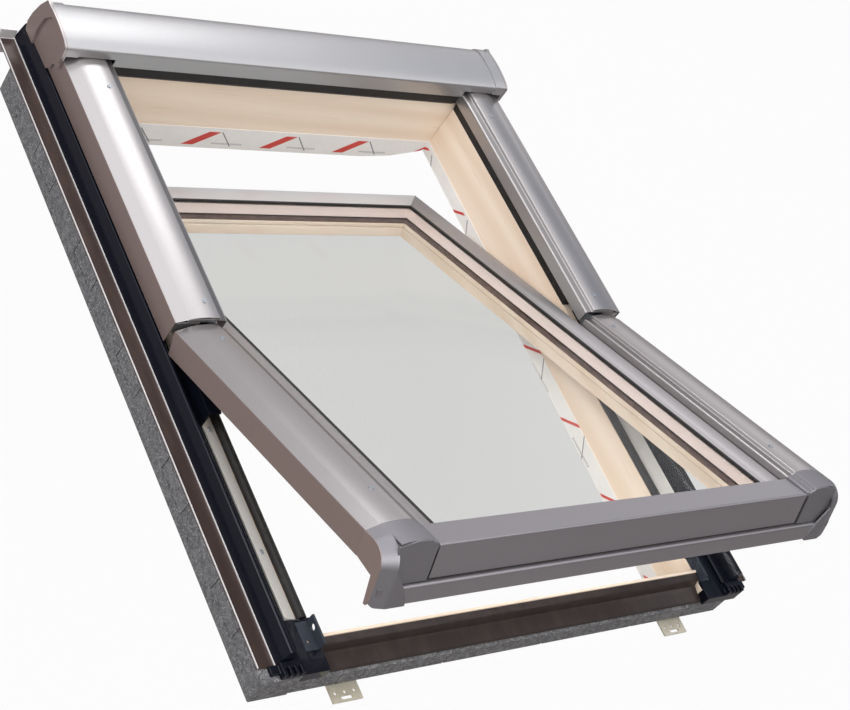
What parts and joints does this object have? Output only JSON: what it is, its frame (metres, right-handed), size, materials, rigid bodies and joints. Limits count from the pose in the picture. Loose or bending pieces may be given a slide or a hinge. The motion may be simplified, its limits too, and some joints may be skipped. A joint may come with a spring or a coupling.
{
  "type": "roof skylight",
  "caption": "Centre-pivot roof window: pine frame with insulation collar and metal covers, and a double-glazed sash that swings open on arc hinges.",
  "frame": {"origin": "middle of the frame on the seat plane of the four mounting brackets", "axes": "+X across the window to the right seen from outside, +Y up the roof slope, +Z out of the roof"},
  "size_m": [0.844, 1.026, 0.4264],
  "materials": {
    "pine": "clear varnished",
    "foam": "moulded bead foam",
    "brown_sheet": "satin",
    "black_plastic": "gloss",
    "seal_rubber": "matt",
    "cover_metal": "metallic lacquer",
    "glass": "clear",
    "spacer": "satin",
    "film": "printed film",
    "bracket_zinc": "zinc plated",
    "fitting_steel": "satin",
    "handle_metal": "satin anodised"
  },
  "bodies": {
    "frame": {"frame_head": "pine", "frame_sill": "pine", "frame_jamb_left": "pine", "frame_jamb_right": "pine", "collar_top": "foam", "collar_bottom": "foam", "collar_left": "foam", "collar_right": "foam", "flashing_channel_left": "brown_sheet", "flashing_channel_right": "brown_sheet", "side_trim_left": "black_plastic", "side_trim_right": "black_plastic", "sill_corner_left": "black_plastic", "sill_corner_right": "black_plastic", "sill_cladding": "brown_sheet", "jamb_rail_left": "cover_metal", "jamb_rail_right": "cover_metal", "jamb_gasket_left": "seal_rubber", "jamb_gasket_right": "seal_rubber", "upper_gasket_left": "seal_rubber", "upper_gasket_right": "seal_rubber", "head_gasket": "seal_rubber", "keeper_left": "fitting_steel", "keeper_right": "fitting_steel", "upper_cover_left": "cover_metal", "upper_cover_right": "cover_metal", "hood": "cover_metal", "hood_cap_left": "cover_metal", "hood_cap_right": "cover_metal", "hinge_housing_left": "black_plastic", "hinge_housing_right": "black_plastic", "vapour_film": "film", "mounting_brackets": "bracket_zinc", "frame_screws": "fitting_steel"},
    "sash": {"sash_top_rail": "pine", "sash_bottom_rail": "pine", "sash_stile_left": "pine", "sash_stile_right": "pine", "outer_pane": "glass", "inner_pane": "glass", "spacer_bar": "spacer", "inner_gasket": "seal_rubber", "outer_gasket": "seal_rubber", "glazing_bead_top": "cover_metal", "glazing_bead_left": "cover_metal", "glazing_bead_right": "cover_metal", "bottom_rail_cover": "cover_metal", "drip_rail": "cover_metal", "lower_cover_left": "cover_metal", "lower_cover_right": "cover_metal", "corner_cap_left": "cover_metal", "corner_cap_right": "cover_metal", "hinge_arm_left": "fitting_steel", "hinge_arm_right": "fitting_steel", "handle_base": "handle_metal", "sash_screws": "fitting_steel"},
    "handle": {"handle_lever": "handle_metal"},
    "bolt_left": {"lock_bolt_left": "fitting_steel"},
    "bolt_right": {"lock_bolt_right": "fitting_steel"}
  },
  "joints": [
    {"name": "sash_swing", "type": "hinge", "parent": "frame", "child": "sash", "pos_m": [0, -0.048, 0.126], "axis": [-1, 0, 0], "range_deg": [-23, 107]},
    {"name": "handle_turn", "type": "hinge", "parent": "sash", "child": "handle", "pos_m": [0, -0.42693, 0.19559], "axis": [0, 0.3907, 0.9205], "range_deg": [0, 90]},
    {"name": "bolt_left_slide", "type": "slide", "parent": "sash", "child": "bolt_left", "axis": [-1, 0, 0], "range_m": [0, 0.014]},
    {"name": "bolt_right_slide", "type": "slide", "parent": "sash", "child": "bolt_right", "axis": [1, 0, 0], "range_m": [0, 0.014]}
  ],
  "couplings": [
    {"joint": "bolt_left_slide", "follows": "handle_turn", "m_per_rad": 0.0089},
    {"joint": "bolt_right_slide", "follows": "handle_turn", "m_per_rad": 0.0089}
  ]
}
